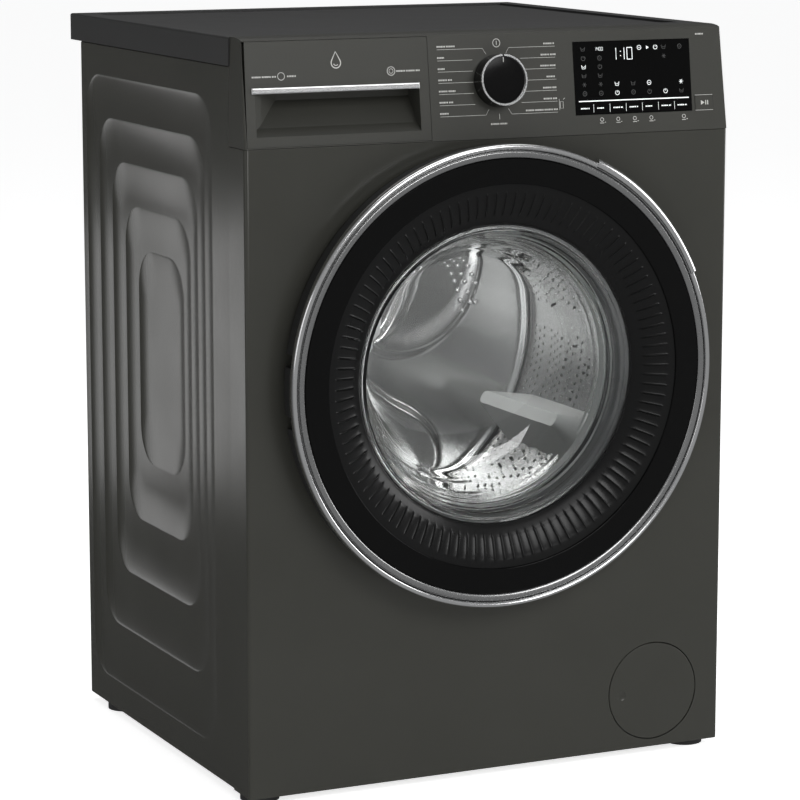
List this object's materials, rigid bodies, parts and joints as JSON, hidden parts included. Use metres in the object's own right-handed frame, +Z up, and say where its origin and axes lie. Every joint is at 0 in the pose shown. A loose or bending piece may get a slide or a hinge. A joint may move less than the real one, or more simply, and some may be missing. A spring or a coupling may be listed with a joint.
{
  "type": "front load washing machine",
  "caption": "Dark front-loading washing machine with a round glass door, detergent drawer, programme knob and display, and a drum with its drive inside.",
  "frame": {"origin": "on the floor, at the centre of the machine's bounding box", "axes": "+X to the right seen from the front, +Y to the rear, +Z up"},
  "size_m": [0.596, 0.582, 0.845],
  "materials": {
    "cabinet_paint": "satin dark grey paint",
    "galvanised": "plain zinc-coated sheet",
    "bright_steel": "polished stainless steel",
    "dark_plastic": "fine matt",
    "gloss_black": "high gloss",
    "fascia_plastic": "satin dark grey",
    "worktop_laminate": "fine texture",
    "chrome_trim": "polished",
    "clear_glass": "clear, tinted slightly grey",
    "display_glass": "black gloss",
    "grey_rubber": "matt",
    "black_rubber": "matt",
    "tub_plastic": "plain moulded",
    "white_plastic": "plain moulded",
    "concrete": "cast block, rough",
    "cast_metal": "as cast",
    "board_green": "circuit board",
    "zinc_steel": "zinc plated"
  },
  "bodies": {
    "cabinet": {"side_panel_left": "cabinet_paint", "side_panel_right": "cabinet_paint", "front_panel": "cabinet_paint", "rear_panel": "galvanised", "service_cover": "galvanised", "base_pan": "dark_plastic", "worktop_frame": "worktop_laminate", "worktop_board": "worktop_laminate", "cross_braces": "galvanised", "levelling_feet": "black_rubber", "foot_lock_nuts": "zinc_steel", "control_fascia": "fascia_plastic", "display_glass": "display_glass", "control_board": "board_green", "dispenser_housing": "white_plastic", "hinge_bracket": "zinc_steel", "door_lock": "dark_plastic", "door_gasket": "grey_rubber", "gasket_clamps": "zinc_steel", "tub_front": "tub_plastic", "tub_rear": "tub_plastic", "front_counterweights": "concrete", "top_counterweight": "concrete", "heater": "bright_steel", "drum_bearings": "zinc_steel", "drive_belt": "black_rubber", "motor": "cast_metal", "dampers": "zinc_steel", "suspension_springs": "zinc_steel", "pump_body": "dark_plastic", "inlet_valve": "white_plastic", "water_hoses": "black_rubber", "drain_hose": "grey_rubber", "mains_gland": "dark_plastic", "transit_caps": "dark_plastic"},
    "drum": {"drum_shell": "bright_steel", "drum_front": "bright_steel", "drum_back": "bright_steel", "drum_lifters": "tub_plastic", "drum_spider": "cast_metal", "drum_shaft": "zinc_steel", "drum_pulley": "cast_metal"},
    "rotor": {"motor_pulley": "zinc_steel"},
    "door": {"door_ring": "chrome_trim", "door_cover": "gloss_black", "door_rear_frame": "dark_plastic", "door_glass": "clear_glass", "door_hinge_arm": "zinc_steel"},
    "handle": {"door_handle": "chrome_trim"},
    "hook": {"latch_hook": "zinc_steel"},
    "drawer": {"drawer_front": "fascia_plastic", "drawer_trim": "chrome_trim", "drawer_tray": "white_plastic", "softener_cap": "white_plastic"},
    "knob": {"program_knob": "gloss_black", "knob_ring": "chrome_trim"},
    "start_button": {"start_key": "fascia_plastic"},
    "flap": {"filter_cover": "cabinet_paint"},
    "strainer": {"pump_filter": "dark_plastic"},
    "impeller": {"pump_impeller": "dark_plastic"}
  },
  "joints": [
    {"name": "door_hinge", "type": "hinge", "parent": "cabinet", "child": "door", "pos_m": [-0.243, -0.28, 0.465], "axis": [0, 0, -1], "range_deg": [0, 145]},
    {"name": "handle_pivot", "type": "hinge", "parent": "door", "child": "handle", "pos_m": [0.16905, -0.281, 0.62968], "axis": [0.6978, 0, -0.7163], "range_deg": [0, 8], "stiffness_Nm_per_rad": 1.2, "springref_deg": -2.86},
    {"name": "hook_pivot", "type": "hinge", "parent": "door", "child": "hook", "pos_m": [0.212, -0.27, 0.465], "axis": [0, 0, 1], "range_deg": [0, 12]},
    {"name": "drum_spin", "type": "hinge", "parent": "cabinet", "child": "drum", "pos_m": [0, -0.018, 0.465], "axis": [0, 1, 0], "continuous": true},
    {"name": "rotor_spin", "type": "hinge", "parent": "cabinet", "child": "rotor", "pos_m": [0.035, 0.106, 0.108], "axis": [0, 1, 0], "continuous": true},
    {"name": "drawer_slide", "type": "slide", "parent": "cabinet", "child": "drawer", "axis": [0, -1, 0], "range_m": [0, 0.25]},
    {"name": "knob_turn", "type": "hinge", "parent": "cabinet", "child": "knob", "pos_m": [0.0075, -0.24575, 0.7905], "axis": [0, -0.9915, 0.1299], "continuous": true},
    {"name": "start_press", "type": "slide", "parent": "cabinet", "child": "start_button", "axis": [0, 0.9915, -0.1299], "range_m": [0, 0.0012], "stiffness_N_per_m": 800, "springref_m": -0.0005},
    {"name": "flap_hinge", "type": "hinge", "parent": "cabinet", "child": "flap", "pos_m": [0.268, -0.2535, 0.076], "axis": [0, 0, 1], "range_deg": [0, 95]},
    {"name": "strainer_turn", "type": "hinge", "parent": "cabinet", "child": "strainer", "pos_m": [0.205, -0.214, 0.076], "axis": [0, -1, 0], "range_deg": [-270, 0]},
    {"name": "impeller_spin", "type": "hinge", "parent": "cabinet", "child": "impeller", "pos_m": [0.205, -0.12, 0.076], "axis": [0, 1, 0], "continuous": true}
  ],
  "couplings": [
    {"joint": "rotor_spin", "follows": "drum_spin", "ratio": 12.727},
    {"joint": "hook_pivot", "follows": "handle_pivot", "ratio": 1.5}
  ]
}
